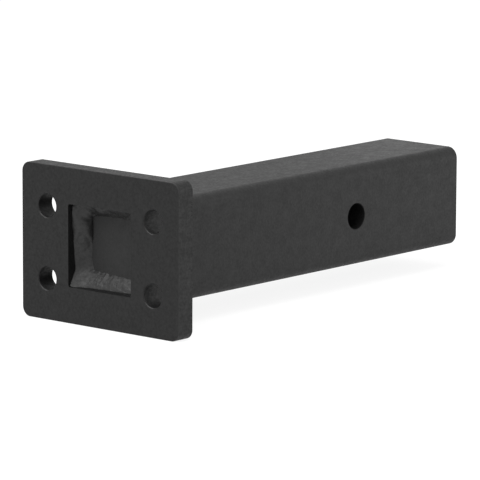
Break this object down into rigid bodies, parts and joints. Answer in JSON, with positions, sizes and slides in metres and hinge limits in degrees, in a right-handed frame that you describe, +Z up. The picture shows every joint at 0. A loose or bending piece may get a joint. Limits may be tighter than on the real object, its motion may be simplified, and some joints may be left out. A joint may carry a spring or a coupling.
{
  "type": "pintle hook receiver mount",
  "caption": "Pintle hook mount: a solid square receiver bar with a cross pin hole, welded to a thick front plate with bolt holes and a welded square window.",
  "frame": {"origin": "centre of the hitch pin hole, on the bar's axis", "axes": "+X along the bar away from the plate, +Y across the bar along the pin hole, +Z up"},
  "size_m": [0.3048, 0.127, 0.0952],
  "materials": {
    "black_powder_coat": "satin black powder coat, fine grain"
  },
  "bodies": {
    "root": {"mounting_plate": "black_powder_coat", "shank_bar": "black_powder_coat", "window_weld": "black_powder_coat", "top_weld": "black_powder_coat", "bottom_weld": "black_powder_coat"}
  },
  "joints": []
}
